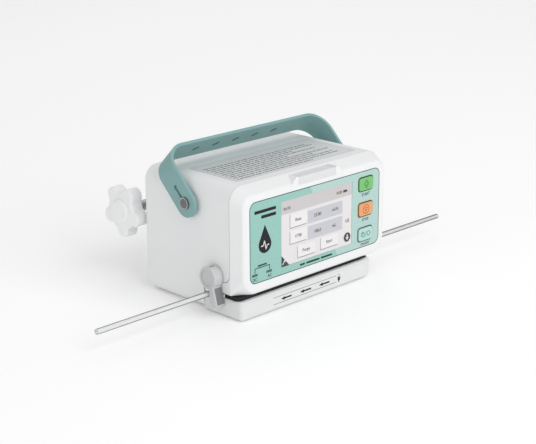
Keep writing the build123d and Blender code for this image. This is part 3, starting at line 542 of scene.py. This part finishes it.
def draw_power(p, z):
    p.hoop(KEY_X + 3.2, z, 1.9, 0.55)
    p.hoop(KEY_X - 3.2, z, 1.9, 0.55)
    p.line((KEY_X - 3.2, z - 0.2), (KEY_X - 3.2, z + 2.4), 0.55)
    p.line((KEY_X - 0.7, z - 2.2), (KEY_X + 0.7, z + 2.2), 0.5)


key_print("symbol_start", "key_start", ink("ink_leaf", (0.03, 0.22, 0.04)), draw_start)
key_print("symbol_stop", "key_stop", ink("ink_rust", (0.42, 0.11, 0.02)), draw_stop)
key_print("symbol_power", "key_power", ink("ink_sea", (0.09, 0.22, 0.20)), draw_power)

# ---------------------------------------------------------------- screen picture, laminated under the lens face
SCREEN_Y = FRONT + 0.32
SCREEN_X = (-35.7, 36.3)
SCREEN_Z = (30.1, 76.8)
HEADER_Z = 67.3
FIELD_LIFT, BUTTON_LIFT, TEXT_LIFT = 0.06, 0.12, 0.2  # layers of the picture, each over the last


def screen_piece(name, material, shapes, lift):
    p = Print(on_front(SCREEN_Y - lift))
    draw = {"rect": p.rect, "circle": p.circle, "line": p.line, "poly": p.polygon}
    for kind, *values in shapes:
        draw[kind](*values)
    return p.piece(name, material, "casing")


lit_back = lit("screen_back", (0.735, 0.71, 0.715), 0.02)
lit_head = lit("screen_head", (0.56, 0.53, 0.535), 0.02)
lit_field = lit("screen_field", (0.535, 0.535, 0.58), 0.02)
lit_button = lit("screen_button", (0.79, 0.775, 0.775), 0.02)
lit_edge = lit("screen_edge", (0.28, 0.27, 0.28), 0.0)
lit_text = lit("screen_text", (0.09, 0.09, 0.10), 0.0)
lit_black = lit("screen_black", (0.008, 0.008, 0.009), 0.0)

BUTTONS = (
    (-27.4, -10.5, 56.0, 66.2),
    (-27.4, -10.5, 44.3, 54.1),
    (-19.9, -2.2, 32.7, 42.0),
    (3.4, 21.8, 33.0, 42.3),
)
FIELDS = ((-9.5, 26.3, 55.4, 64.9), (-9.4, 26.3, 43.6, 53.5))
screen_piece("screen_background", lit_back, [("rect", *SCREEN_X, *SCREEN_Z)], 0.0)
screen_piece("screen_header", lit_head, [("rect", *SCREEN_X, HEADER_Z, SCREEN_Z[1])], FIELD_LIFT)
screen_piece("screen_fields", lit_field, [("rect", *f) for f in FIELDS], FIELD_LIFT)
screen_piece("screen_button_edges", lit_edge,
             [("rect", a, b - 0.2, c - 0.1, d - 0.6) for a, b, c, d in BUTTONS], FIELD_LIFT)
screen_piece("screen_buttons", lit_button,
             [("rect", a + 0.45, b, c + 0.55, d) for a, b, c, d in BUTTONS], BUTTON_LIFT)
screen_piece("screen_marks", lit_black, [
    ("poly", [(-35.7, 38.4), (-35.7, 30.1), (-28.0, 30.1)]),
    ("circle", 31.7, 36.2, 3.5),
    ("rect", 27.1, 30.8, 70.4, 72.2),
    ("rect", 30.8, 31.3, 70.9, 71.7)], BUTTON_LIFT)
screen_piece("screen_arrow", lit_button, [
    ("rect", 31.25, 32.15, 36.0, 38.4),
    ("poly", [(30.0, 36.3), (31.7, 33.9), (33.4, 36.3)]),
    ("line", (-34.6, 31.6), (-32.9, 33.6), 0.7),
    ("circle", -32.6, 33.9, 0.8)], TEXT_LIFT)
for name, text, u, v, size, align in (
        ("screen_word_mode", "RATE", -33.4, 71.0, 2.8, "LEFT"),
        ("screen_clock", "10:30", 25.6, 71.2, 2.8, "RIGHT"),
        ("screen_word_rate", "Rate", -19.0, 61.2, 3.3, "CENTER"),
        ("screen_word_vtbi", "VTBI", -19.0, 49.2, 3.3, "CENTER"),
        ("screen_word_purge", "Purge", -11.0, 37.4, 3.3, "CENTER"),
        ("screen_word_start", "Start", 12.6, 37.8, 3.3, "CENTER"),
        ("screen_value_rate", "25.00", 0.4, 60.2, 3.3, "CENTER"),
        ("screen_value_vtbi", "100.0", 0.4, 48.4, 3.3, "CENTER"),
        ("screen_unit_rate", "mL/h", 18.6, 60.2, 3.3, "CENTER"),
        ("screen_unit_vtbi", "mL", 17.6, 48.4, 3.3, "CENTER"),
        ("screen_page", "1/2", 31.4, 48.6, 3.4, "CENTER")):
    words(name, text, u, v, size, lit_text, "casing", y=SCREEN_Y - TEXT_LIFT, align=align,
          bold=0.03)

# ---------------------------------------------------------------- greeked instruction label on the top
LABEL_Z = 92.65
LINE_START, LINE_PITCH, LINE_LEFT = -26.8, 3.8, -56.0
LINE_ENDS = (18, 50, 47, 30, 50, 12, 44, 24, 50, 46)
BAR_TALL, BAR_GAP, BAR_LEAST = 0.95, 0.9, 0.8
label = Print(on_top(LABEL_Z))
for row, line_end in enumerate(LINE_ENDS):
    v = LINE_START + row * LINE_PITCH
    u = LINE_LEFT
    k = row
    while u < 48:
        width = 1.6 + 1.1 * ((k * 7 + row * 5) % 5)
        end = min(u + width, line_end)
        if end - u > BAR_LEAST:
            label.rect(u, end, v, v + BAR_TALL, 0.2)
        u = end + BAR_GAP
        k += 1
        if end >= line_end:
            break
label.piece("top_label_bars", soft_ink, "casing")
edge = Print(on_top(LABEL_Z))
edge.frame(-59.4, 59.4, -30.4, 18.9, 2.4, 0.35)
edge.piece("top_label_edge", ink("ink_pale", (0.52, 0.53, 0.54)), "casing")

# ---------------------------------------------------------------- flow marks on the tube door
flow = Print(on_front(DOOR_FRONT))
flow.line((-44.8, 10.3), (19.0, 10.3), 0.32)
flow.line((-44.8, 5.4), (19.0, 5.4), 0.32)
flow.piece("door_flow_lines", grey_ink, "tube_door")
arrows = Print(on_front(DOOR_FRONT))
for a, b in ((-37.5, -27.0), (-18.5, -7.3), (0.9, 11.9)):
    arrows.polygon([(a, 7.7), (a + 3.8, 9.0), (a + 3.8, 6.4)])
    arrows.rect(a + 3.6, b, 7.1, 8.3)
arrows.rect(20.9, 22.9, 6.2, 8.9, 0.5)
arrows.polygon([(21.2, 6.3), (22.6, 6.3), (21.9, 4.4)])
arrows.piece("door_flow_arrows", black_ink, "tube_door")
chamber = Print(on_front(DOOR_FRONT))
chamber.frame(20.6, 23.2, 6.0, 11.0, 1.0, 0.25)
chamber.piece("door_chamber_mark", grey_ink, "tube_door")

# thin dark line on the lever hub's top, along its front rim
mark = Print(on_top(36.28))
mark.rect(-81.6, -77.4, -25.2, -24.5, 0.2)
mark.piece("lever_hub_line", black_ink, "lever")

# dark pad on the front of the lever's arm
PAD_LOW, PAD_HIGH = (-32.97, 10.6), (-29.83, 21.9)
PAD_LEAN = math.hypot(PAD_HIGH[0] - PAD_LOW[0], PAD_HIGH[1] - PAD_LOW[1])
PAD_DIR = ((PAD_HIGH[0] - PAD_LOW[0]) / PAD_LEAN, (PAD_HIGH[1] - PAD_LOW[1]) / PAD_LEAN)
pad = Print(lambda u, v, h: (u, PAD_LOW[0] + PAD_DIR[0] * v - PAD_DIR[1] * h, PAD_LOW[1] + PAD_DIR[1] * v
                             + PAD_DIR[0] * h))
pad.rect(-82.1, -75.7, 0.0, PAD_LEAN, 0.3)
pad.piece("lever_pad", moulded("lever_dark", (0.19, 0.195, 0.20), rough=0.5), "lever")

# white lips at the left end, either side of the tube: one on the door, one under the casing's skirt
LIP_X, LIP_THICK, LIP_TOP = -74.6, 0.6, 16.55
for name, body, y0, y1, z0 in (
        ("front", "tube_door", -32.0, -25.0, 13.95),
        ("rear", "casing", -20.2, -12.8, 14.95)):
    lip = bmesh.new()
    bmesh.ops.create_cube(lip, size=1.0)
    bmesh.ops.scale(lip, vec=(LIP_THICK, y1 - y0, LIP_TOP - z0), verts=lip.verts)
    bmesh.ops.translate(lip, vec=(LIP_X, (y0 + y1) / 2, (z0 + LIP_TOP) / 2), verts=lip.verts)
    link_mesh("end_lip_" + name, lip, MATERIALS["housing_white"], body)

# bright rims of the strap rivets
RIVET_Y, RIVET_Z = 0.9, 75.3
RIVET_FACE = 80.8
for name, x in (("left", -RIVET_FACE), ("right", RIVET_FACE)):
    rim = Print(on_side(x))
    rim.hoop(RIVET_Y, RIVET_Z, 4.25, 0.75)
    rim.piece("rivet_rim_" + name, MATERIALS["steel"], "casing")

# dark sheets in each slot across the strap's bar, which leans back at 45 degrees: painted shade, standing for
# the shadowed inside of each slot
COS_45 = math.sqrt(0.5)
BAR = 38.42  # from the rivets' axis to the bar's outer face
SLOT_CENTRE, SLOT_PITCH, SLOT_TURN = -5.7, 19.4, math.radians(-26)
SLOT_HALF, SLOT_R = 1.7, 1.45
slot_shade = Print(lambda u, v, h: (u, RIVET_Y + COS_45 * (BAR + h + v), RIVET_Z + COS_45 * (BAR + h - v)))
for k in range(-2, 3):
    outline = []
    for cx, start in ((SLOT_HALF, -90), (-SLOT_HALF, 90)):
        for j in range(9):
            a = math.radians(start + 180 * j / 8)
            px, py = cx + SLOT_R * math.cos(a), SLOT_R * math.sin(a)
            outline.append((SLOT_CENTRE + SLOT_PITCH * k + px * math.cos(SLOT_TURN) - py * math.sin(SLOT_TURN),
                            px * math.sin(SLOT_TURN) + py * math.cos(SLOT_TURN)))
    slot_shade.polygon(outline)
# painted shade: a dark teal sheet in each slot stands for its shadowed inside
slot_shade.piece("strap_slot_shade_sheets", moulded("strap_slot_painted_shade", (0.05, 0.10, 0.095), rough=0.6), "handle")

# ---------------------------------------------------------------- light and floor
floor_bm = bmesh.new()
bmesh.ops.create_grid(floor_bm, x_segments=1, y_segments=1, size=8)
floor_data = bpy.data.meshes.new("floor")
floor_bm.to_mesh(floor_data)
floor_bm.free()
floor_material, _, floor_shader = new_material("floor")
floor_shader.inputs["Base Color"].default_value = (0.98, 0.98, 0.98, 1)
floor_shader.inputs["Roughness"].default_value = 0.6
floor_shader.inputs["Specular IOR Level"].default_value = 0.1
floor_shader.inputs["Emission Color"].default_value = (1, 1, 1, 1)
floor_shader.inputs["Emission Strength"].default_value = 0.08
floor_data.materials.append(floor_material)
floor = bpy.data.objects.new("floor", floor_data)
bpy.context.scene.collection.objects.link(floor)

world = bpy.data.worlds.new("studio")
world.use_nodes = True
world.node_tree.nodes["Background"].inputs[0].default_value = (1, 1, 1, 1)
world.node_tree.nodes["Background"].inputs[1].default_value = 0.6
bpy.context.scene.world = world
bpy.context.scene.view_settings.view_transform = "Standard"


def area_light(name, place, target, size, watts):
    """Square area light aimed at a point, in metres."""
    data = bpy.data.lights.new(name, "AREA")
    data.shape = "SQUARE"
    data.size = size
    data.energy = watts
    o = bpy.data.objects.new(name, data)
    bpy.context.scene.collection.objects.link(o)
    o.location = place
    o.rotation_euler = (Vector(target) - Vector(place)).to_track_quat("-Z", "Y").to_euler()


area_light("key", (0.0, -1.75, 1.2), (0, 0, 0.05), size=1.7, watts=20)
area_light("top", (0.0, 0.3, 2.0), (0, 0, 0), size=1.6, watts=1.5)
area_light("left", (-2.0, -0.2, 0.8), (0, 0, 0.05), size=1.6, watts=4)
area_light("far", (1.1, 1.1, 1.6), (1.1, 1.1, 0), size=1.5, watts=5)
